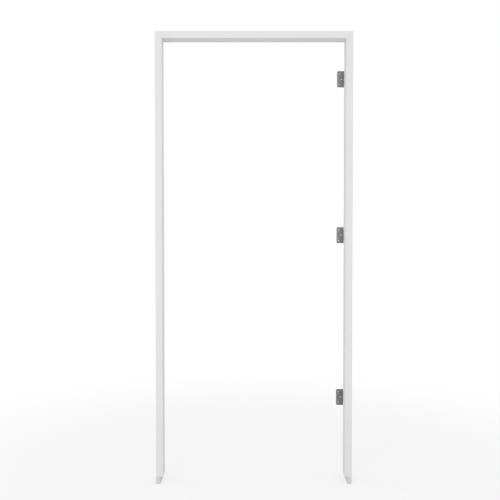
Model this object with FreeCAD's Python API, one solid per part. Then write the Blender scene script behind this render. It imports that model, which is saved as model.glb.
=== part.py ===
import FreeCAD, Part
import math
import os
from FreeCAD import Vector

# Exterior door frame, put together: two rebated side jambs, a head between
# them, and three butt hinges on the right-hand jamb. X runs across the
# doorway, -Y is the exterior side, +Z is up. All sizes are in millimetres.

# Frame members
jamb_length = 2073.3         # height of the side jambs
rebate_opening = 863.6       # across the doorway, rebate floor to rebate floor
jamb_depth = 115.9           # exterior edge to interior edge
jamb_thickness = 31.75       # at the stop
rebate_depth = 12.7          # step from the stop face down to the rebate floor
rebate_width = 50.8          # interior edge to the step that the door closes on
edge_radius = 1.6            # eased long edges
end_bevel = 0.6              # arris taken off the head's sawn ends

# Shallow grooves in the outer faces that keep the boards flat
groove_width = 4.0
groove_depth = 3.0
groove_inset = 34.0          # board edge to groove

# Rot-resistant feet, finger-jointed below the stops, where the sill is housed
foot_height = 34.0
finger_length = 14.0
finger_count = 12
finger_tip = 1.2

# Compression seal in a slot along the step
slot_width = 3.2
slot_depth = 11.0
slot_inset = 2.6             # rebate floor to slot
seal_gap = 0.3               # seal to rebate floor, and seal to seal
bulb_width = 12.1
bulb_thickness = 11.0
bulb_radius = 4.0
stem_thickness = 1.2
stem_depth = 9.5
barb_gap = 0.1               # barb to slot wall
barb_length = 2.6
barb_pitch = 3.2

# Butt hinges
hinge_height = 76.2
leaf_width = 38.1            # pin axis to the leaf's free edge
leaf_thickness = 2.4
leaf_gap = 1.6               # between the two leaves with the hinge closed
leaf_radius = 6.35
leaf_bevel = 0.35            # round the rim of the face that shows
knuckle_radius = 5.25
knuckle_count = 5
knuckle_gap = 0.3
knuckle_bevel = 0.35
pin_radius = 2.95
pin_running_gap = 0.05
pin_reach = 6.0              # jamb's interior edge to the pin axis
pin_head_radius = 4.6
pin_head_height = 2.6
pin_end_bevel = 0.8
leaf_clearance = 0.4         # leaf edge to the other leaf's knuckles
mortise_clearance = 0.2
top_hinge_drop = 190.7       # jamb top to hinge centre
middle_hinge_drop = 926.5
bottom_hinge_rise = 374.3    # jamb bottom to hinge centre

# Hinge screws: two by the free edge, one between them nearer the pin
outer_screw_reach = 28.6     # pin axis to the outer pair
inner_screw_reach = 17.5
outer_screw_spacing = 50.8
leaf_screw_head_radius = 3.9
leaf_screw_radius = 2.1
leaf_screw_length = 17.0

# Corner screws, through each jamb into the end of the head
corner_screw_head_radius = 4.2
corner_screw_radius = 2.2
corner_screw_length = 57.0
front_screw_inset = 16.0     # exterior edge to the first screw
step_screw_inset = 17.0      # the stop's step to the second screw
back_screw_inset = 18.0      # interior edge to the last screw

# Shared by both kinds of screw
screw_clearance = 0.1
screw_sink = 0.1             # head below the surface
screw_seat_gap = 0.03        # head to countersink
screw_tip_radius = 0.5
recess_arm = 4.2             # cross recess, end to end
recess_blade = 1.0
recess_depth = 1.3

cut_margin = 1.0             # how far a cutting shape stands past the surface
same_plane = 0.001           # edges this close to a plane lie in it

# Worked out from the sizes above
board_thickness = jamb_thickness - rebate_depth
stop_width = jamb_depth - rebate_width
frame_width = rebate_opening + 2 * board_thickness
shoulder_height = jamb_length - jamb_thickness
slot_start = board_thickness + slot_inset
slot_middle = slot_start + slot_width / 2
bulb_start = board_thickness + seal_gap
bulb_end = bulb_start + bulb_width
leaf_face = leaf_gap / 2
leaf_back = leaf_face + leaf_thickness
plate_start = knuckle_radius + leaf_clearance
knuckle_height = (hinge_height - (knuckle_count - 1) * knuckle_gap) / knuckle_count
half_depth = (jamb_depth + pin_reach + knuckle_radius) / 2
pin_x = rebate_opening / 2 - leaf_face
pin_y = jamb_depth + pin_reach - half_depth


def hinge_side(inward, depth, along):
    """A point of the right-hand jamb: inward from its outer face, depth from the exterior edge."""
    return Vector(frame_width / 2 - inward, depth - half_depth, along)


def strike_side(inward, depth, along):
    """A point of the left-hand jamb, as above."""
    return Vector(inward - frame_width / 2, depth - half_depth, along)


def head_side(inward, depth, along):
    """A point of the head: inward is down from the top, along runs across the doorway."""
    return Vector(along, depth - half_depth, jamb_length - inward)


def jamb_leaf_side(height):
    """Points of a jamb leaf: out from the pin axis, up from the hinge's middle, off the pin's plane."""
    def place(out, up, off):
        return Vector(pin_x + off, pin_y - out, height + up)
    return place


def door_leaf_side(height):
    """Points of a door leaf, swung open square to the jamb leaf."""
    def place(out, up, off):
        return Vector(pin_x - out, pin_y + off, height + up)
    return place


def rounded_face(place, corners, level):
    """A flat face with the given corners (u, v, radius), joined by lines and tangent arcs."""
    points = [Vector(u, v, 0) for u, v, radius in corners]
    arrivals, arcs, departures = [], [], []
    for index, (u, v, radius) in enumerate(corners):
        corner = points[index]
        back = (points[index - 1] - corner).normalize()
        onward = (points[(index + 1) % len(points)] - corner).normalize()
        half_angle = back.getAngle(onward) / 2
        tangent = radius / math.tan(half_angle)
        arrivals.append(corner + back * tangent)
        departures.append(corner + onward * tangent)
        inwards = (back + onward).normalize()
        arcs.append(corner + inwards * (radius / math.sin(half_angle) - radius))

    def lift(point):
        return place(point.x, point.y, level)

    edges = []
    for index, (u, v, radius) in enumerate(corners):
        if radius > 0:
            arc = Part.Arc(lift(arrivals[index]), lift(arcs[index]), lift(departures[index]))
            edges.append(arc.toShape())
        following = (index + 1) % len(corners)
        edges.append(Part.makeLine(lift(departures[index]), lift(arrivals[following])))
    return Part.Face(Part.Wire(edges))


def prism(place, corners, start, end):
    """The face with these corners, carried from start to end along the third direction."""
    face = rounded_face(place, corners, start)
    return face.extrude(place(0, 0, end) - place(0, 0, start))


def block(place, u, v, w):
    """A box between two values in each of the three directions."""
    corners = [(u[0], v[0], 0), (u[1], v[0], 0), (u[1], v[1], 0), (u[0], v[1], 0)]
    return prism(place, corners, w[0], w[1])


def board(place, start, end):
    """The plain board at the back of the section, without its stop."""
    corners = [
        (0, 0, edge_radius),
        (board_thickness, 0, 0),
        (board_thickness, jamb_depth, edge_radius),
        (0, jamb_depth, edge_radius),
    ]
    return prism(place, corners, start, end)


def edges_at(solid, place, level):
    """The edges that lie in the plane at this value of the third direction."""
    origin = place(0, 0, 0)
    axis = place(0, 0, 1) - origin
    return [
        edge for edge in solid.Edges
        if all(abs((end.Point - origin).dot(axis) - level) < same_plane for end in edge.Vertexes)
    ]


def rebated_member(place, start, end, bevel=0):
    """The full section with its stop, its seal slot and the grooves in its outer face."""
    corners = [
        (0, 0, edge_radius),
        (jamb_thickness, 0, edge_radius),
        (jamb_thickness, stop_width, edge_radius),
        (board_thickness, stop_width, 0),
        (board_thickness, jamb_depth, edge_radius),
        (0, jamb_depth, edge_radius),
    ]
    member = prism(place, corners, start, end)
    if bevel > 0:
        member = member.makeChamfer(bevel, edges_at(member, place, start) + edges_at(member, place, end))
    ends = (start - cut_margin, end + cut_margin)
    slot = block(
        place,
        (slot_start, slot_start + slot_width),
        (stop_width - slot_depth, stop_width + cut_margin),
        ends,
    )
    return member.cut([slot] + relief_grooves(place, ends))


def relief_grooves(place, ends):
    """Two grooves in the outer face, one near each edge of the board."""
    inward = (-cut_margin, groove_depth)
    front = (groove_inset, groove_inset + groove_width)
    back = (jamb_depth - front[1], jamb_depth - front[0])
    return [block(place, inward, front, ends), block(place, inward, back, ends)]


def finger_region(place):
    """Everything below the toothed line of a foot's finger joint."""
    def sideways(depth, along, inward):
        return place(inward, depth, along)

    pitch = jamb_depth / finger_count
    low = foot_height - finger_length
    outline = [(-cut_margin, foot_height)]
    for finger in range(finger_count):
        left = finger * pitch
        middle = left + pitch / 2
        outline.append((left + finger_tip / 2, foot_height))
        outline.append((middle - finger_tip / 2, low))
        outline.append((middle + finger_tip / 2, low))
        outline.append((left + pitch - finger_tip / 2, foot_height))
    outline.append((jamb_depth + cut_margin, foot_height))
    outline.append((jamb_depth + cut_margin, -cut_margin))
    outline.append((-cut_margin, -cut_margin))
    corners = [(depth, along, 0) for depth, along in outline]
    return prism(sideways, corners, -cut_margin, jamb_thickness + cut_margin)


def foot(place):
    """The foot under one jamb: a plain board with a toothed top."""
    return board(place, 0, foot_height).common(finger_region(place))


def side_jamb(place):
    """A side jamb: its stop ends above the foot and under the head, which is housed at the top."""
    upper = rebated_member(place, foot_height, jamb_length)
    head_housing = block(
        place,
        (board_thickness, jamb_thickness + cut_margin),
        (-cut_margin, stop_width + cut_margin),
        (shoulder_height, jamb_length + cut_margin),
    )
    lower = board(place, foot_height - finger_length, foot_height)
    ends = (-cut_margin, foot_height + cut_margin)
    lower = lower.cut([finger_region(place)] + relief_grooves(place, ends))
    return upper.cut(head_housing).fuse(lower).removeSplitter()


def seal(place, bulb_range, stem_range):
    """A seal: a rounded bulb that sits on the step, and a barbed stem in the slot."""
    bulb_top = stop_width + bulb_thickness
    bulb = prism(
        place,
        [
            (bulb_start, stop_width, 0),
            (bulb_end, stop_width, 0),
            (bulb_end, bulb_top, bulb_radius),
            (bulb_start, bulb_top, bulb_radius),
        ],
        *bulb_range,
    )
    stem = block(
        place,
        (slot_middle - stem_thickness / 2, slot_middle + stem_thickness / 2),
        (stop_width - stem_depth, stop_width),
        stem_range,
    )
    barb_reach = slot_width / 2 - barb_gap
    barbs = []
    for barb in range(2):
        barb_base = stop_width - stem_depth + barb_length + barb * barb_pitch
        corners = [
            (slot_middle - barb_reach, barb_base, 0),
            (slot_middle + barb_reach, barb_base, 0),
            (slot_middle, barb_base - barb_length, 0),
        ]
        barbs.append(prism(place, corners, *stem_range))
    return bulb.fuse([stem] + barbs).removeSplitter()


def screw(top, direction, head_radius, shank_radius, length):
    """A countersunk screw along X, from the middle of its head's face, with a cross recess."""
    head_height = head_radius - shank_radius
    tip_length = 2 * shank_radius
    shank_end = length - tip_length
    head = Part.makeCone(head_radius, shank_radius, head_height, top, direction)
    shank = Part.makeCylinder(shank_radius, shank_end - head_height, top + direction * head_height, direction)
    tip = Part.makeCone(shank_radius, screw_tip_radius, tip_length, top + direction * shank_end, direction)
    body = head.fuse([shank, tip])
    for arm, blade in ((recess_arm, recess_blade), (recess_blade, recess_arm)):
        cutter = Part.makeBox(2 * recess_depth, arm, blade)
        cutter.translate(top - Vector(recess_depth, arm / 2, blade / 2))
        body = body.cut(cutter)
    return body.removeSplitter()


def screw_hole(surface, direction, head_radius, shank_radius, length):
    """The countersunk hole that such a screw needs, from the surface inwards."""
    hole_radius = shank_radius + screw_clearance
    sink_radius = head_radius + screw_sink + screw_seat_gap
    hole = Part.makeCylinder(hole_radius, length + screw_sink + screw_clearance, surface, direction)
    sink = Part.makeCone(sink_radius, hole_radius, sink_radius - hole_radius, surface, direction)
    return hole.fuse(sink)


def leaf_screw_points():
    """Where the three screws of one leaf are, as (out, up)."""
    return [
        (outer_screw_reach, outer_screw_spacing / 2),
        (inner_screw_reach, 0),
        (outer_screw_reach, -outer_screw_spacing / 2),
    ]


def leaf_holes(place):
    """The countersunk holes of one leaf, and the screws' way into what is behind it."""
    direction = place(0, 0, 1) - place(0, 0, 0)
    return [
        screw_hole(place(out, up, leaf_face), direction, leaf_screw_head_radius,
                   leaf_screw_radius, leaf_screw_length)
        for out, up in leaf_screw_points()
    ]


def leaf_screws(place):
    """The three screws that hold one leaf."""
    direction = place(0, 0, 1) - place(0, 0, 0)
    return [
        screw(place(out, up, leaf_face + screw_sink), direction, leaf_screw_head_radius,
              leaf_screw_radius, leaf_screw_length)
        for out, up in leaf_screw_points()
    ]


def leaf(place, first_knuckle):
    """A hinge leaf: a plate, and every other knuckle of the barrel from the given one up."""
    half = hinge_height / 2
    corners = [
        (plate_start, -half, 0),
        (leaf_width, -half, leaf_radius),
        (leaf_width, half, leaf_radius),
        (plate_start, half, 0),
    ]
    plate = prism(place, corners, leaf_face, leaf_back)
    pin_edge = place(plate_start, 0, leaf_face)
    across = (place(1, 0, leaf_face) - place(0, 0, leaf_face))
    free_rim = [
        edge for edge in edges_at(plate, place, leaf_face)
        if (edge.CenterOfMass - pin_edge).dot(across) > same_plane
    ]
    plate = plate.makeChamfer(leaf_bevel, free_rim)
    knuckles = []
    for knuckle in range(first_knuckle, knuckle_count, 2):
        low = -half + knuckle * (knuckle_height + knuckle_gap)
        barrel = Part.makeCylinder(knuckle_radius, knuckle_height, place(0, low, 0))
        rims = [edge for edge in barrel.Edges if edge.isClosed() and len(edge.Vertexes) == 1]
        knuckles.append(barrel.makeChamfer(knuckle_bevel, rims))
        knuckles.append(block(place, (0, plate_start), (low, low + knuckle_height), (leaf_face, leaf_back)))
    bore_start = place(0, -half - cut_margin, 0)
    bore = Part.makeCylinder(pin_radius + pin_running_gap, hinge_height + 2 * cut_margin, bore_start)
    return plate.fuse(knuckles).cut([bore] + leaf_holes(place)).removeSplitter()


def hinge_pin(place):
    """A pin with a domed head that rests on the top knuckle."""
    half = hinge_height / 2
    shank = Part.makeCylinder(pin_radius, hinge_height, place(0, -half, 0))
    end_rim = [edge for edge in shank.Edges if edge.isClosed() and edge.CenterOfMass.z < place(0, 0, 0).z]
    shank = shank.makeChamfer(pin_end_bevel, end_rim[:1])
    dome_radius = (pin_head_radius ** 2 + pin_head_height ** 2) / (2 * pin_head_height)
    ball = Part.makeSphere(dome_radius, place(0, half + pin_head_height - dome_radius, 0))
    head = Part.makeCylinder(pin_head_radius, pin_head_height, place(0, half, 0)).common(ball)
    return shank.fuse(head).removeSplitter()


def mortise(place):
    """The recess for one leaf, open at the jamb's interior edge."""
    half = hinge_height / 2 + mortise_clearance
    far = leaf_width + mortise_clearance
    corner = leaf_radius + mortise_clearance
    corners = [
        (0, -half, 0),
        (far, -half, corner),
        (far, half, corner),
        (0, half, 0),
    ]
    return prism(place, corners, leaf_face - cut_margin, leaf_back)


def corner_screw_points():
    """Where the three screws of one corner are, as (inward on the head, depth)."""
    return [
        (jamb_thickness / 2, front_screw_inset),
        (jamb_thickness / 2, stop_width - step_screw_inset),
        (board_thickness / 2, jamb_depth - back_screw_inset),
    ]


def corner_holes(place):
    """The holes through one jamb and into the end of the head."""
    direction = (place(1, 0, 0) - place(0, 0, 0)).normalize()
    return [
        screw_hole(place(0, depth, jamb_length - down), direction, corner_screw_head_radius,
                   corner_screw_radius, corner_screw_length)
        for down, depth in corner_screw_points()
    ]


def corner_screws(place):
    """The three screws of one corner."""
    direction = (place(1, 0, 0) - place(0, 0, 0)).normalize()
    return [
        screw(place(screw_sink, depth, jamb_length - down), direction, corner_screw_head_radius,
              corner_screw_radius, corner_screw_length)
        for down, depth in corner_screw_points()
    ]


def build_frame(hinge_heights):
    """The two jambs, their feet, the head and the seals, as named solids."""
    leaf_recesses = []
    for height in hinge_heights.values():
        place = jamb_leaf_side(height)
        leaf_recesses += [mortise(place)] + leaf_holes(place)
    half_opening = rebate_opening / 2
    head = rebated_member(head_side, -half_opening, half_opening, end_bevel)
    jamb_bulb = (foot_height, jamb_length - bulb_end - seal_gap)
    jamb_stem = (foot_height, shoulder_height - seal_gap)
    head_seal_range = (seal_gap - half_opening, half_opening - seal_gap)
    return {
        "hinge_jamb": side_jamb(hinge_side).cut(leaf_recesses + corner_holes(hinge_side)),
        "strike_jamb": side_jamb(strike_side).cut(corner_holes(strike_side)),
        "head_jamb": head.cut(corner_holes(hinge_side) + corner_holes(strike_side)),
        "hinge_jamb_foot": foot(hinge_side),
        "strike_jamb_foot": foot(strike_side),
        "hinge_jamb_seal": seal(hinge_side, jamb_bulb, jamb_stem),
        "strike_jamb_seal": seal(strike_side, jamb_bulb, jamb_stem),
        "head_seal": seal(head_side, head_seal_range, head_seal_range),
    }


def build_hinge(name, height):
    """The leaves, pin and screws of one hinge, as named solids."""
    solids = {
        name + "_hinge_jamb_leaf": leaf(jamb_leaf_side(height), 0),
        name + "_hinge_door_leaf": leaf(door_leaf_side(height), 1),
        name + "_hinge_pin": hinge_pin(jamb_leaf_side(height)),
    }
    for number, solid in enumerate(leaf_screws(jamb_leaf_side(height)), start=1):
        solids[f"{name}_hinge_screw_{number}"] = solid
    return solids


def build_corner_screws():
    """Six screws, three for each corner of the frame."""
    solids = {}
    for name, place in (("hinge", hinge_side), ("strike", strike_side)):
        for number, solid in enumerate(corner_screws(place), start=1):
            solids[f"{name}_corner_screw_{number}"] = solid
    return solids


def main():
    hinge_heights = {
        "top": jamb_length - top_hinge_drop,
        "middle": jamb_length - middle_hinge_drop,
        "bottom": bottom_hinge_rise,
    }
    solids = build_frame(hinge_heights)
    for name, height in hinge_heights.items():
        solids.update(build_hinge(name, height))
    solids.update(build_corner_screws())
    os.makedirs("parts", exist_ok=True)
    for name, solid in solids.items():
        solid.exportStep(f"parts/{name}.step")
        print(name, "solids", len(solid.Solids), "valid", solid.isValid(), "volume", round(solid.Volume, 1))


main()
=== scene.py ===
# %% [markdown]
# # Dressing an exterior door frame
# The frame is two rebated side jambs and a head, factory primed in white, with three butt hinges
# on the right-hand jamb. Its solids arrive from CAD, in metres and already in place, so nothing
# here has to be fitted: Blender adds finishes, the soft seals, real screws, light and a camera.
# Each step below says what the real thing is, how it could be made, and why this way is taken.

# %% Load the frame
import math

import bpy
import numpy as np
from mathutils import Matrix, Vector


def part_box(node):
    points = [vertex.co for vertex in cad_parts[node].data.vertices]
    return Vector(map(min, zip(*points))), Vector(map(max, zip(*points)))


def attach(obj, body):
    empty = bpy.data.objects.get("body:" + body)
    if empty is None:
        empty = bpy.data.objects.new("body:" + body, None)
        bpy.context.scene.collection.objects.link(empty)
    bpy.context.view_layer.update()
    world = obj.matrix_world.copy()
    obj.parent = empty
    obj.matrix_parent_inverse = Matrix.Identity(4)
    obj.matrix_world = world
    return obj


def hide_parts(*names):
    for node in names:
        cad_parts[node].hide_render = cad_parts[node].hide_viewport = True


mm = 0.001
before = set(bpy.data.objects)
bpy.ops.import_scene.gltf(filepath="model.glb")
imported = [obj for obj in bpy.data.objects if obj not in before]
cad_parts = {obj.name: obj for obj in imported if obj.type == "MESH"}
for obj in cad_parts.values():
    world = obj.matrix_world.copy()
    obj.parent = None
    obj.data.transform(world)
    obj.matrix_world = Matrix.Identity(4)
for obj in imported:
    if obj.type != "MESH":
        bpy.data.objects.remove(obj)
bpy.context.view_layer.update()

# %% [markdown]
# ## The camera
# The picture is taken square on, from about 3.2 m in front of the exterior face, with a lens of
# 50 mm on a 36 mm sensor. The eye is 1.16 m up, a little above the middle hinge, so that the
# underside of the head shows and the feet are seen from above. Upright lines stay nearly upright
# because the lens looks down by only a degree and a half. A nearer camera with a shorter lens
# would show more of the inner sides, but it would draw the hinges closer together than the
# photo has them.

# %% Camera
eye = (-0.018, -3.2374, 1.162)
look_down = math.radians(1.485)

camera_data = bpy.data.cameras.new("camera")
camera_data.lens = 50
camera_data.sensor_width = 36
camera = bpy.data.objects.new("camera", camera_data)
camera.location = eye
camera.rotation_euler = (math.pi / 2 - look_down, 0, 0)
bpy.context.scene.collection.objects.link(camera)
bpy.context.scene.camera = camera
bpy.context.scene.view_settings.view_transform = "Standard"
print("camera at", eye, "looking down", round(math.degrees(look_down), 3), "degrees")

# %% [markdown]
# ## Writing materials as sums
# A procedural material is a small calculation at every point of a surface. In the node editor
# that is a web of Math nodes. In a script it reads better as a sum, so a class wraps one output
# of a node and lets Python's own signs add the Math nodes. All other nodes come from one method.

# %% A node's output that can be calculated with
class Output:
    """One output of a node. The signs + - * / between outputs and numbers add Math nodes."""

    def __init__(self, recipe, socket):
        self.recipe = recipe
        self.socket = socket

    def math(self, operation, first, second):
        """A Math node on two values, each an output or a number."""
        return self.recipe.add("ShaderNodeMath", {"operation": operation}, {0: first, 1: second})

    def __add__(self, other):
        return self.math("ADD", self, other)

    def __radd__(self, other):
        return self.math("ADD", other, self)

    def __sub__(self, other):
        return self.math("SUBTRACT", self, other)

    def __rsub__(self, other):
        return self.math("SUBTRACT", other, self)

    def __mul__(self, other):
        return self.math("MULTIPLY", self, other)

    def __rmul__(self, other):
        return self.math("MULTIPLY", other, self)

    def __truediv__(self, other):
        return self.math("DIVIDE", self, other)

    def __rtruediv__(self, other):
        return self.math("DIVIDE", other, self)

    def apply(self, operation, other=0.0):
        """A Math operation that has no sign of its own, such as SINE or FLOOR."""
        return self.math(operation, self, other)


# %% A node tree that grows by one method
class Recipe:
    """A node tree that is being written."""

    def __init__(self, tree):
        self.tree = tree
        tree.nodes.clear()

    def add(self, kind, settings=None, inputs=None, output=0):
        """A node of this type: its settings first, then its sockets' values or links."""
        node = self.tree.nodes.new(kind)
        for name, value in (settings or {}).items():
            setattr(node, name, value)
        for name, value in (inputs or {}).items():
            if isinstance(value, Output):
                self.tree.links.new(value.socket, node.inputs[name])
            else:
                node.inputs[name].default_value = value
        return Output(self, node.outputs[output]) if node.outputs else None

    def place(self):
        """The point of the surface in the piece's own space, in metres."""
        return self.add("ShaderNodeTexCoord", output="Object")

    def axes(self, vector):
        """The three numbers of a vector, each as an output of its own."""
        node = self.add("ShaderNodeSeparateXYZ", inputs={0: vector}).socket.node
        return [Output(self, socket) for socket in node.outputs]

    def noise(self, vector, lumps, stretch=(1, 1, 1), detail=2.0, roughness=0.5):
        """Soft noise from 0 to 1: this many lumps a metre, times stretch along each axis."""
        scales = tuple(lumps * value for value in stretch)
        where = self.add("ShaderNodeMapping", inputs={"Vector": vector, "Scale": scales})
        return self.add("ShaderNodeTexNoise", inputs={
            "Vector": where, "Scale": 1.0, "Detail": detail, "Roughness": roughness})

    def ramp(self, value, low, high, start=0.0, end=1.0):
        """A smooth change from start to end while the value goes from low to high."""
        return self.add("ShaderNodeMapRange", {"interpolation_type": "SMOOTHSTEP"}, {
            "Value": value, "From Min": low, "From Max": high, "To Min": start, "To Max": end})

    def blend(self, factor, first, second):
        """A colour between two others, which are sockets 6 and 7 of a Mix node, and output 2."""
        return self.add("ShaderNodeMix", {"data_type": "RGBA"}, {0: factor, 6: first, 7: second}, 2)

    def tint(self, colour, factor):
        """A colour made lighter or darker by a factor that varies."""
        return self.add(
            "ShaderNodeVectorMath", {"operation": "SCALE"}, {0: colour, "Scale": factor})

    def bumps(self, *layers):
        """A bent normal from layers of (height from 0 to 1, depth in metres)."""
        normal = None
        for height, depth in layers:
            inputs = {"Height": height, "Distance": depth, "Strength": 1.0}
            if normal is not None:
                inputs["Normal"] = normal
            normal = self.add("ShaderNodeBump", inputs=inputs)
        return normal


def new_finish(name, describe):
    """A material whose Principled sockets take what describe(recipe) gives."""
    material = bpy.data.materials.new(name)
    material.use_nodes = True
    recipe = Recipe(material.node_tree)
    shader = recipe.add("ShaderNodeBsdfPrincipled", inputs=describe(recipe))
    recipe.add("ShaderNodeOutputMaterial", inputs={"Surface": shader})
    print("finish", name, "with", len(material.node_tree.nodes), "nodes")
    return material


# %% [markdown]
# ## Floor, backdrop and light
# A pale studio sweep is a large floor that fades into a background of the same white. The
# background must not flood the object, so the camera and anything shiny sees white, while the
# light that reaches the object is a plain grey sky and three large soft lamps. One lamp stands
# high in front, which makes the front faces a step lighter than the faces inside the opening.
# Close to the object the floor keeps its own shading, so that the feet cast a soft shadow.

# %% What the camera sees as white
def seen_directly(recipe):
    """1 for rays from the camera, off shiny things or through clear ones, and 0 for light."""
    rays = recipe.add("ShaderNodeLightPath").socket.node.outputs
    camera_ray, glossy_ray, clear_ray = (
        Output(recipe, rays[name])
        for name in ("Is Camera Ray", "Is Glossy Ray", "Is Transmission Ray"))
    return camera_ray.apply("MAXIMUM", glossy_ray).apply("MAXIMUM", clear_ray)


sky_strength = 0.71
white = (1.0, 1.0, 1.0, 1.0)

world = bpy.data.worlds.new("studio")
world.use_nodes = True
sky = Recipe(world.node_tree)
grey_sky = sky.add("ShaderNodeBackground", inputs={"Color": white, "Strength": sky_strength})
white_sky = sky.add("ShaderNodeBackground", inputs={"Color": white, "Strength": 1.0})
both = sky.add("ShaderNodeMixShader", inputs={0: seen_directly(sky), 1: grey_sky, 2: white_sky})
sky.add("ShaderNodeOutputWorld", inputs={"Surface": both})
bpy.context.scene.world = world
print("sky gives", sky_strength, "of white")

# %% A mesh from arrays
def make_piece(name, vertices, faces, finish):
    """An object at the origin, whose mesh has these points and faces, shaded smooth."""
    mesh = bpy.data.meshes.new(name)
    mesh.from_pydata(np.asarray(vertices).tolist(), [], faces)
    mesh.polygons.foreach_set("use_smooth", np.full(len(faces), True))
    mesh.materials.append(finish)
    mesh.update()
    piece = bpy.data.objects.new(name, mesh)
    bpy.context.scene.collection.objects.link(piece)
    return piece


def grid_faces(rows, columns, closed):
    """Quads between neighbouring rows of points. With closed, the last column joins the first."""
    row, column = np.meshgrid(
        np.arange(rows - 1), np.arange(columns if closed else columns - 1), indexing="ij")
    here = row * columns + column
    beside = row * columns + (column + 1) % columns
    return np.stack([here, beside, beside + columns, here + columns], -1).reshape(-1, 4).tolist()


# %% Floor
floor_radius = 14.0
floor_hub = 0.02            # share of the inmost ring, see below
floor_rings = 40
floor_spokes = 96
near_white = 0.62           # share of plain white beside the object
shadow_reach = (0.9, 2.6)   # metres over which the floor turns wholly white
floor_pale = (0.82, 0.82, 0.82, 1.0)
floor_seen = (0.96, 0.96, 0.96, 1.0)


def floor_finish():
    """A pale matt floor whose own shading gives way to white with distance."""
    material = bpy.data.materials.new("studio_floor")
    material.use_nodes = True
    recipe = Recipe(material.node_tree)
    x, y, _ = recipe.axes(recipe.place())
    distance = (x * x + y * y).apply("SQRT")
    seen = seen_directly(recipe)
    share = recipe.ramp(distance, *shadow_reach, near_white, 1.0) * seen
    colour = recipe.blend(seen, floor_pale, floor_seen)
    pale = recipe.add("ShaderNodeBsdfDiffuse", inputs={"Color": colour})
    plain = recipe.add("ShaderNodeEmission", inputs={"Color": white, "Strength": 1.0})
    surface = recipe.add("ShaderNodeMixShader", inputs={0: share, 1: pale, 2: plain})
    recipe.add("ShaderNodeOutputMaterial", inputs={"Surface": surface})
    return material


# rings from the rim inwards, closer together near the middle, whose radius is floor_radius
# times the square of a share that falls from 1 to floor_hub
spread = floor_radius * np.linspace(1, floor_hub, floor_rings)[:, None] ** 2
turn = np.linspace(0, 2 * math.pi, floor_spokes, endpoint=False)[None, :]
floor_x, floor_y = spread * np.cos(turn), spread * np.sin(turn)
floor_points = np.stack([floor_x, floor_y, np.zeros_like(floor_x)], -1).reshape(-1, 3)
floor_faces = grid_faces(floor_rings, floor_spokes, closed=True)
floor_faces.append(list(range(len(floor_points) - floor_spokes, len(floor_points))))
floor = make_piece("studio_floor", floor_points, floor_faces, floor_finish())
print("floor", 2 * floor_radius, "m across")

# %% Lamps
lamp_target = (0.0, 0.0, 1.0)
lamps = [
    # name, place, width in metres, power in watts
    ("front_lamp", (-0.6, -3.9, 1.9), 3.0, 46),
    ("left_lamp", (-3.4, 0.8, 2.4), 2.4, 8),
    ("back_lamp", (1.6, 3.4, 3.0), 2.8, 14),
]


def look_at(place, target):
    """Angles that turn a lamp's -Z towards the target: a tilt from straight down, then a turn."""
    x, y, z = (end - start for start, end in zip(place, target))
    return (math.atan2(math.hypot(x, y), -z), 0.0, math.atan2(-x, y))


for name, place, width, power in lamps:
    lamp_data = bpy.data.lights.new(name, "AREA")
    lamp_data.size = width
    lamp_data.energy = power
    lamp = bpy.data.objects.new(name, lamp_data)
    lamp.location = place
    lamp.rotation_euler = look_at(place, lamp_target)
    bpy.context.scene.collection.objects.link(lamp)
    print(name, "of", power, "W at", place)

# %% [markdown]
# ## Primed wood
# The members are milled from finger-jointed softwood: short blocks, glued end to end with
# zigzag joints, then planed and sprayed with a matt white primer. Through the paint one still
# finds a faint zigzag every 20 to 40 cm, a slight step in tone from block to block, the grain
# as fine ridges along the member, and the primer's own stipple.
# A photo of wood would show the same few boards again and again. Noise that is stretched along
# the member never repeats, and it follows each member's own direction.

# %% Primed wood finish
primer_white = (0.805, 0.805, 0.80)
finger_pitch = 4.5 * mm     # across the board
finger_reach = 11 * mm      # along the board
joint_width = 0.45 * mm
block_length = 0.31
block_uneven = 0.33         # how far a joint strays, as a share of a block
block_wave = 6.1            # radians a metre of that straying
grain_stretch = 0.02        # along the member, against 1 across it
grain_depth = 0.16 * mm
stipple_depth = 0.04 * mm
joint_depth = 0.09 * mm


def primed_wood(name, lengthwise, seed):
    """White primer on finger-jointed wood. lengthwise is the index of the member's long axis."""
    def describe(recipe):
        place = recipe.place()
        axes = recipe.axes(place)
        along, across = axes[lengthwise], axes[1]
        # the joint's zigzag: a triangle wave across the board, carried along it
        zigzag = (across / finger_pitch).apply("PINGPONG", 0.5) * (2 * finger_reach)
        straying = (along * block_wave + seed).apply("SINE") * block_uneven
        blocks = (along + zigzag) / block_length + straying + seed
        gap = blocks.apply("PINGPONG", 0.5) * block_length
        joint = recipe.ramp(gap, 0.0, joint_width, 1.0, 0.0)
        block = blocks.apply("FLOOR") + 0.5
        tone = recipe.add("ShaderNodeTexWhiteNoise", {"noise_dimensions": "1D"}, {"W": block})
        stretch = [1.0, 1.0, 1.0]
        stretch[lengthwise] = grain_stretch
        grain = recipe.noise(place, 420, stretch, detail=4, roughness=0.62)
        stipple = recipe.noise(place, 1100, detail=2)
        cloud = recipe.noise(place, 5, detail=3)
        shade = 0.951 + tone * 0.020 + grain * 0.070 + cloud * 0.020 - joint * 0.075
        return {
            "Base Color": recipe.tint(primer_white, shade),
            "Roughness": 0.60 + stipple * 0.10 - grain * 0.06,
            "Specular IOR Level": 0.35,
            "Normal": recipe.bumps(
                (grain, grain_depth), (stipple, stipple_depth), (1 - joint, joint_depth)),
        }
    return new_finish(name, describe)


UPRIGHT, SIDEWAYS = 2, 0
wood_finishes = {
    "hinge_jamb": primed_wood("primed_hinge_jamb", UPRIGHT, 3.7),
    "strike_jamb": primed_wood("primed_strike_jamb", UPRIGHT, 8.2),
    "head_jamb": primed_wood("primed_head_jamb", SIDEWAYS, 5.1),
}

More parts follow.
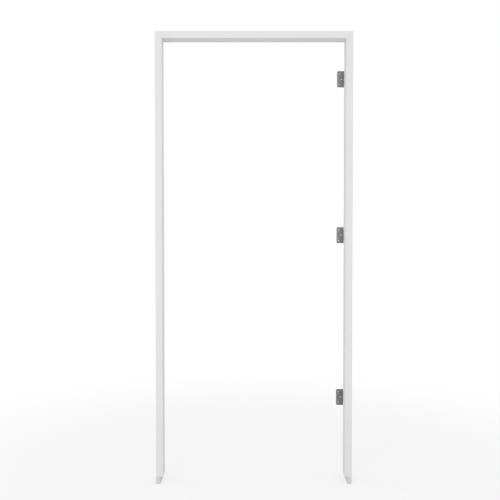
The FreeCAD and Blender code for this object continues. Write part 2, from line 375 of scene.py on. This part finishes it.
# %% [markdown]
# ## Composite feet
# The lowest 34 mm of each jamb stand where rain collects, so they are a wood composite that
# can't rot, joined to the wood above with long fingers. It is a shade greyer than the primer
# and shows small flakes of wood and the marks of the saw. One grey would do from far off. For a
# close look, the distance to the nearest of many random points makes round pits, and noise that
# is drawn out level makes the saw marks.

# %% Composite finish
composite_grey = (0.70, 0.70, 0.69)
pit_edge = (0.05, 0.22)     # from a pit's middle, as a share of a cell
saw_depth = 0.07 * mm
pit_depth = 0.08 * mm
flake_depth = 0.04 * mm


def describe_composite(recipe):
    """Matt grey with flakes, round pits painted darker as painted shade, and level saw marks."""
    place = recipe.place()
    flakes = recipe.noise(place, 900, (1.0, 1.0, 0.35), detail=3, roughness=0.7)
    cells = recipe.add("ShaderNodeTexVoronoi", inputs={"Vector": place, "Scale": 1600.0})
    pits = recipe.ramp(cells, *pit_edge, 1.0, 0.0)
    saw = recipe.noise(place, 700, (0.05, 0.05, 1.0), detail=1)
    return {
        # the pits are painted darker, painted shade in their hollows
        "Base Color": recipe.tint(composite_grey, 0.93 + flakes * 0.13 - pits * 0.10),
        "Roughness": 0.62 + flakes * 0.15,
        "Specular IOR Level": 0.4,
        "Normal": recipe.bumps((saw, saw_depth), (1 - pits, pit_depth), (flakes, flake_depth)),
    }


composite = new_finish("composite", describe_composite)

# %% [markdown]
# ## Satin nickel
# The hinges are steel, brushed along their height and plated with nickel. Brushing leaves fine
# upright scratches that blur a reflection sideways. Blender's anisotropy would blur it too, but
# shows no scratches close up, so noise that is drawn out along the brush makes them instead.
# The knuckles are painted a little lighter than the leaves, a painted highlight on the barrels.
# The leaf in the jamb is much darker than the free one. Part of that is what it mirrors, and the
# rest is painted shade, a darker colour of the same nickel, so one function makes both.

# %% Satin nickel finish
plate_nickel = (0.242, 0.240, 0.235)
# painted shade: a darker nickel for the jamb's leaf, standing in for the shade it sits in
painted_shade_plate_nickel = (0.145, 0.143, 0.140)
# painted highlight: a lighter nickel on the knuckles
knuckle_highlight_nickel = (0.330, 0.327, 0.320)
knuckle_edge = (5.4 * mm, 7.5 * mm)     # from the pin's axis
scratch_depth = 0.02 * mm

pin_low, pin_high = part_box("top_hinge_pin")
pin_x = (pin_low.x + pin_high.x) / 2
pin_y = (pin_low.y + pin_high.y) / 2
print("pins stand at x", round(pin_x, 5), "y", round(pin_y, 5))


def nickel(name, plate_colour):
    """Satin nickel in this colour, lighter near the pin as a painted highlight on the knuckles."""
    def describe(recipe):
        place = recipe.place()
        x, y, _ = recipe.axes(place)
        from_pin = ((x - pin_x) * (x - pin_x) + (y - pin_y) * (y - pin_y)).apply("SQRT")
        knuckle = recipe.ramp(from_pin, *knuckle_edge, 1.0, 0.0)
        scratches = recipe.noise(place, 2600, (1.0, 1.0, 0.03), detail=3, roughness=0.6)
        smudge = recipe.noise(place, 45, detail=3)
        tone = 0.87 + scratches * 0.22 + smudge * 0.06
        return {
            # near the pin the colour turns lighter, a painted highlight on the knuckles
            "Base Color": recipe.blend(
                knuckle, recipe.tint(plate_colour, tone), recipe.tint(knuckle_highlight_nickel, tone)),
            "Metallic": 1.0,
            "Roughness": 0.42 + scratches * 0.10 + smudge * 0.05 - knuckle * 0.10,
            "Normal": recipe.bumps((scratches, scratch_depth)),
        }
    return new_finish(name, describe)


satin_nickel = nickel("satin_nickel", plate_nickel)
# the same nickel with painted shade, for the leaves in the jamb
painted_shade_nickel = nickel("satin_nickel_painted_shade", painted_shade_plate_nickel)

# %% [markdown]
# ## Zinc plated screws
# Six long construction screws hold the corners. Zinc is a bright, slightly blue metal with a
# cloudy sheen where the plating is thicker. One even grey would look like foil, so the same
# clouds change its colour, its roughness and, very slightly, its surface.

# %% Zinc finish
zinc_blue = (0.60, 0.62, 0.65)
zinc_depth = 0.015 * mm


def describe_zinc(recipe):
    """Bluish metal whose clouds change tone, gloss and surface together."""
    cloud = recipe.noise(recipe.place(), 500, detail=3)
    return {
        "Base Color": recipe.tint(zinc_blue, 0.90 + cloud * 0.16),
        "Metallic": 1.0,
        "Roughness": 0.28 + cloud * 0.14,
        "Normal": recipe.bumps((cloud, zinc_depth)),
    }


zinc = new_finish("zinc", describe_zinc)

# %% Finishes onto the CAD solids
hinge_names = ("top", "middle", "bottom")
solid_finishes = dict(wood_finishes)
for side in ("hinge", "strike"):
    solid_finishes[side + "_jamb_foot"] = composite
# each jamb's leaf takes the nickel with painted shade
for hinge in hinge_names:
    solid_finishes[hinge + "_hinge_jamb_leaf"] = painted_shade_nickel
    for part in ("door_leaf", "pin"):
        solid_finishes[f"{hinge}_hinge_{part}"] = satin_nickel

for node, finish in solid_finishes.items():
    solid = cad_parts[node]
    solid.data.materials.clear()
    solid.data.materials.append(finish)
print(len(solid_finishes), "solids dressed")

# %% [markdown]
# ## Seals
# A compression seal runs along the step that the door closes on: a soft foam core in a thin
# film, welded to a plastic stem whose barbs hold it in a sawn slot. Its section is the same all
# along, so the natural way to make it is a profile carried along a path. The foam swells a
# little more in some places than in others, which a straight extrusion would miss, so the
# outline breathes by a tenth of a millimetre as it goes.

# %% Foam film finish
film_grey = (0.51, 0.51, 0.50)
crease_depth = 0.30 * mm
pore_depth = 0.02 * mm


def describe_film(recipe):
    """Grey film with soft creases painted darker as painted shade, and fine pores."""
    place = recipe.place()
    creases = recipe.noise(place, 260, detail=4, roughness=0.7)
    pores = recipe.noise(place, 2200, detail=1)
    return {
        # the creases are painted darker in their hollows, painted shade
        "Base Color": recipe.tint(film_grey, 0.90 + creases * 0.18),
        "Roughness": 0.40 + creases * 0.18,
        "Normal": recipe.bumps((creases, crease_depth), (pores, pore_depth)),
    }


seal_film = new_finish("seal_film", describe_film)

# %% Where the seals sit
jamb_low, jamb_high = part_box("hinge_jamb")
outer_x = jamb_high.x
exterior_y = jamb_low.y
top_z = jamb_high.z

step = 65.1 * mm            # exterior face to the step
board = 19.05 * mm          # outer face to the rebate's floor
stop = 31.75 * mm           # outer face to the stop's face
seal_gap = 0.3 * mm         # to the rebate's floor, and from seal to seal
print("frame is", round(2 * outer_x / mm, 1), "mm wide and", round(top_z / mm, 1), "mm high")


def hinge_side(inward, depth, along):
    """Points of the right-hand jamb: inward from its outer face, depth from the exterior."""
    return np.stack([outer_x - inward, exterior_y + depth, along], -1)


def strike_side(inward, depth, along):
    """Points of the left-hand jamb."""
    return np.stack([inward - outer_x, exterior_y + depth, along], -1)


def head_side(inward, depth, along):
    """Points of the head: inward is down from its top, along runs across the doorway."""
    return np.stack([along, exterior_y + depth, top_z - inward], -1)


# %% The two profiles
bulb_width = 12.1 * mm
bulb_height = 11.0 * mm
bulb_slack = 0.1 * mm       # how far the film stays inside that width and height
bulb_half_width = bulb_width / 2 - bulb_slack
bulb_half_height = 5.3 * mm
bulb_middle = board + seal_gap + bulb_width / 2
bulb_centre = step + bulb_height - bulb_slack - bulb_half_height
bulb_squareness = 2.6       # n below: 2 is an ellipse, and more is squarer
bulb_turn = (-55, 235)      # degrees round the arch, from the stop's side to the rebate's
bulb_points = 40
bulb_lowest = 0.5 * mm      # the arch ends at least this far above the step
foot_half_width = 5.0 * mm
foot_height = 0.45 * mm
stem_middle = board + 4.2 * mm


def bulb_profile():
    """The film's outline: a rounded square arch, |x|^n + |y|^n = 1, on a flat foot."""
    angle = np.radians(np.linspace(*bulb_turn, bulb_points))
    power = 2 / bulb_squareness
    arch_x = np.sign(np.cos(angle)) * np.abs(np.cos(angle)) ** power
    arch_y = np.sign(np.sin(angle)) * np.abs(np.sin(angle)) ** power
    inward = bulb_middle + bulb_half_width * arch_x
    depth = np.maximum(bulb_centre + bulb_half_height * arch_y, step + bulb_lowest)
    foot_inward = bulb_middle + foot_half_width * np.array([-1, -1, 1, 1])
    foot_depth = step + foot_height * np.array([1, 0, 0, 1])
    return np.append(inward, foot_inward), np.append(depth, foot_depth)


def stem_profile():
    """The stem's outline: one side as (half width, depth) in millimetres, then its mirror image."""
    side = np.array([
        (0.15, 55.6), (1.5, 58.1), (1.5, 58.3), (0.6, 58.35), (0.6, 59.75),
        (1.5, 61.3), (1.5, 61.5), (0.6, 61.55), (0.6, 65.1)]) * mm
    inward = np.append(stem_middle + side[:, 0], stem_middle - side[::-1, 0])
    return inward, np.append(side[:, 1], side[::-1, 1])


print("outlines of", len(bulb_profile()[0]), "and", len(stem_profile()[0]), "points")

# %% Carrying a profile along a member
swell_waves = [
    # radians a metre, where it starts, share of the whole
    (41, 0.0, 0.5),
    (97, 1.3, 0.3),
    (233, 0.0, 0.2),
]


def carried(profile, start, end, place, station_gap=0.012, swell=0.0):
    """The profile at stations from start to end of a member, as points and faces.

    The outline there is 1 - swell * (0.5 + 0.5 * wave) of its size, where wave is a sum of sines.
    """
    inward, depth = profile
    stations = np.linspace(start, end, max(2, round((end - start) / station_gap) + 1))[:, None]
    wave = sum(share * np.sin(stations * rate + phase) for rate, phase, share in swell_waves)
    growth = 1 - swell * (0.5 + 0.5 * wave)
    centre = (inward.min() + inward.max()) / 2
    wide = centre + (inward[None, :] - centre) * growth
    deep = depth.min() + (depth[None, :] - depth.min()) * growth
    points = place(wide, deep, np.broadcast_to(stations, wide.shape))
    rows, columns = wide.shape
    faces = grid_faces(rows, columns, closed=True)
    last = (rows - 1) * columns
    faces += [list(range(columns))[::-1], list(range(last, last + columns))]
    # a place that mirrors the profile turns every face round
    steps = [place(*axis) - place(0.0, 0.0, 0.0) for axis in np.eye(3)]
    if np.linalg.det(np.array(steps)) < 0:
        faces = [face[::-1] for face in faces]
    return points.reshape(-1, 3), faces


def joined(parts):
    """Several (points, faces) as one."""
    points, faces, count = [], [], 0
    for part_points, part_faces in parts:
        points.append(part_points)
        faces += [[index + count for index in face] for face in part_faces]
        count += len(part_points)
    return np.concatenate(points), faces


# %% Three seals
seal_start = 34.0 * mm      # the top of the foot
bulb_top = top_z - board - bulb_width - 2 * seal_gap
stem_top = top_z - stop - seal_gap
half_doorway = outer_x - board - seal_gap
across_doorway = (-half_doorway, half_doorway)
seal_runs = {
    # node: its member, from where to where the bulb runs, and the stem
    "hinge_jamb_seal": (hinge_side, (seal_start, bulb_top), (seal_start, stem_top)),
    "strike_jamb_seal": (strike_side, (seal_start, bulb_top), (seal_start, stem_top)),
    "head_seal": (head_side, across_doorway, across_doorway),
}
for node, (place, bulb_run, stem_run) in seal_runs.items():
    points, faces = joined([
        carried(bulb_profile(), *bulb_run, place, swell=0.025),
        carried(stem_profile(), *stem_run, place, station_gap=0.25),
    ])
    seal = make_piece(node + "_film", points, faces, seal_film)
    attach(seal, "frame")
    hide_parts(node)
    low, high = (np.array(corner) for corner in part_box(node))
    outgrown = max((low - points.min(0)).max(), (points.max(0) - high).max()) / mm
    print(node, len(points), "points, beyond its CAD box by", round(outgrown, 2), "mm")

# %% [markdown]
# ## Screws
# Each leaf in the jamb is held by three short screws, and each corner by three long ones.
# Blender's Screw modifier could wind a thread, but would leave the head and the point to be
# stitched on. Instead a screw's outside is one surface, worked out from two numbers: how far
# along the screw, and how far round. The radius follows the cone of the head, the bare shank,
# then a thread that climbs by one pitch each turn, and closes at the point. The top of the head
# is a square grid bent into a disc, because the straight walls of the cross recess then follow
# the grid's lines.

# %% The head's disc
recess_arm = 0.50           # half an arm, as a share of the head's radius
recess_blade = 0.14         # half a blade, likewise
recess_wall = 0.05          # over which the recess falls to its depth, likewise
recess_depth = 1.25 * mm
recess_slope = 0.5          # how much shallower it is at the arm's end
recess_least = 0.35         # the least share of its depth
half_lines = np.array([0.11, 0.17, 0.46, 0.53, 0.66, 0.84, 1.0])
grid_lines = np.concatenate([-half_lines[::-1], half_lines])


def cross_disc(head_radius):
    """Points (depth, x, y) of the head's top, from x = u*sqrt(1 - v*v/2) and y = v*sqrt(1 - u*u/2).

    The recess is where one of |u| and |v| is below the blade's half width and the other is below
    the arm's half length. It is deepest in the middle.
    """
    u, v = np.meshgrid(grid_lines, grid_lines, indexing="ij")
    x = u * np.sqrt(1 - v * v / 2)
    y = v * np.sqrt(1 - u * u / 2)

    def inside(value, limit):
        """1 where |value| is below the limit and 0 beyond, with a slope recess_wall wide."""
        return np.clip((limit - np.abs(value)) / recess_wall + 0.5, 0, 1)

    cross = np.maximum(
        inside(u, recess_arm) * inside(v, recess_blade),
        inside(v, recess_arm) * inside(u, recess_blade))
    share = np.clip(1 - recess_slope * np.hypot(x, y) / recess_arm, recess_least, 1)
    return np.stack([recess_depth * cross * share, x * head_radius, y * head_radius], -1)


print("head disc of", len(grid_lines) ** 2, "points")

# %% The thread
rows_a_turn = 8
crest_sharpness = 1.7       # 1 is a plain triangle, and more is sharper
root_share = 0.70           # of the crest's radius
bare_share = 0.97
tip_share = 0.14            # what is left of the radius at the tip
run_out = 1.5               # pitches over which the thread rises from the bare shank


def thread_radius(depths, turn, radius, length, pitch, thread_start):
    """The radius below the head, at each depth and each turn round the screw.

    It is root + (crest - root) * ridge, where ridge is a sharp wave of depth / pitch - turn. The
    thread rises out of the bare shank, and everything shrinks over the last diameter.
    """
    wave = (depths / pitch - turn / (2 * math.pi)) % 1.0
    ridge = np.clip(1 - np.abs(2 * wave - 1), 0, 1) ** crest_sharpness
    fade = np.clip((depths - thread_start) / (run_out * pitch), 0, 1)
    root = radius * root_share
    threaded = (root + (radius - root) * ridge) * fade + radius * bare_share * (1 - fade)
    left = np.clip((length - depths) / (2 * radius), 0.0, 1.0)
    taper = left * (1 - tip_share) + tip_share
    return threaded * np.where(depths > length - 2 * radius, taper, 1.0)


# %% The whole screw
rim_land = 0.04 * mm        # first ring below the head's face
tip_land = 0.2 * mm         # last ring before the tip


def screw_surface(head_radius, shank_radius, length, pitch, thread_start):
    """Points (depth, x, y) and faces of a screw: its head's disc, rings of its side, its tip."""
    top = cross_disc(head_radius)
    size = len(grid_lines)
    index = np.arange(size * size).reshape(size, size)
    rim = np.concatenate([index[:-1, 0], index[-1, :-1], index[:0:-1, -1], index[0, :0:-1]])
    rim_points = top.reshape(-1, 3)[rim]
    turn = np.arctan2(rim_points[:, 2], rim_points[:, 1])[None, :]
    cone_end = head_radius - shank_radius
    depths = np.concatenate([
        np.linspace(rim_land, cone_end, 4),
        np.linspace(cone_end, thread_start, 3)[1:],
        np.arange(thread_start, length - tip_land, pitch / rows_a_turn)[1:],
    ])[:, None]
    shank = thread_radius(depths, turn, shank_radius, length, pitch, thread_start)
    radius = np.where(depths < cone_end, head_radius - depths, shank)
    side = np.stack([
        np.broadcast_to(depths, radius.shape), radius * np.cos(turn), radius * np.sin(turn)], -1)
    points = np.concatenate([top.reshape(-1, 3), side.reshape(-1, 3), [[length, 0.0, 0.0]]])
    side_index = size * size + np.arange(radius.size).reshape(radius.shape)
    rings = np.concatenate([rim[None, :], side_index])
    around = np.roll(rings, -1, axis=1)
    walls = np.stack([rings[:-1], around[:-1], around[1:], rings[1:]], -1).reshape(-1, 4)
    tip = np.full(len(rim), len(points) - 1)
    tip_faces = np.stack([rings[-1], around[-1], tip], -1)
    return points, grid_faces(size, size, closed=False) + walls.tolist() + tip_faces.tolist()


leaf_screw = screw_surface(
    head_radius=3.9 * mm, shank_radius=2.1 * mm, length=17.0 * mm, pitch=1.4 * mm,
    thread_start=5.0 * mm)
corner_screw = screw_surface(
    head_radius=4.2 * mm, shank_radius=2.2 * mm, length=57.0 * mm, pitch=2.2 * mm,
    thread_start=18.0 * mm)
print("leaf screw", len(leaf_screw[0]), "points, corner screw", len(corner_screw[0]), "points")

# %% Driving one screw home
def drive(name, direction, shape, angle, finish):
    """A screw in place of its solid, pointing along +X (1) or -X (-1), its cross at this angle."""
    points, faces = shape
    low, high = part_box(name)
    head_x = low.x if direction > 0 else high.x
    axis_y, axis_z = (low.y + high.y) / 2, (low.z + high.z) / 2
    cos, sin = math.cos(angle), math.sin(angle)
    depth, x, y = points.T
    turned_x, turned_y = x * cos - y * sin, x * sin + y * cos
    # half a turn about the upright axis flips both depth and x, and keeps the faces outwards
    driven = np.stack(
        [head_x + direction * depth, axis_y + direction * turned_x, axis_z + turned_y], -1)
    screw = make_piece(name + "_threaded", driven, faces, finish)
    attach(screw, "frame")
    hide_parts(name)


# %% Fifteen screws
screws = [
    # name, direction along X, shape, finish, slot
    (f"{hinge}_hinge_screw_{number}", 1, leaf_screw, satin_nickel, "satin_nickel")
    for hinge in hinge_names for number in (1, 2, 3)
]
screws += [
    (f"{side}_corner_screw_{number}", direction, corner_screw, zinc, "zinc_screw")
    for side, direction in (("hinge", -1), ("strike", 1)) for number in (1, 2, 3)
]
angles = np.random.default_rng(11).uniform(0, math.pi / 2, len(screws))
for (name, direction, shape, finish, slot), angle in zip(screws, angles):
    drive(name, direction, shape, angle, finish)
print(len(screws), "screws driven")
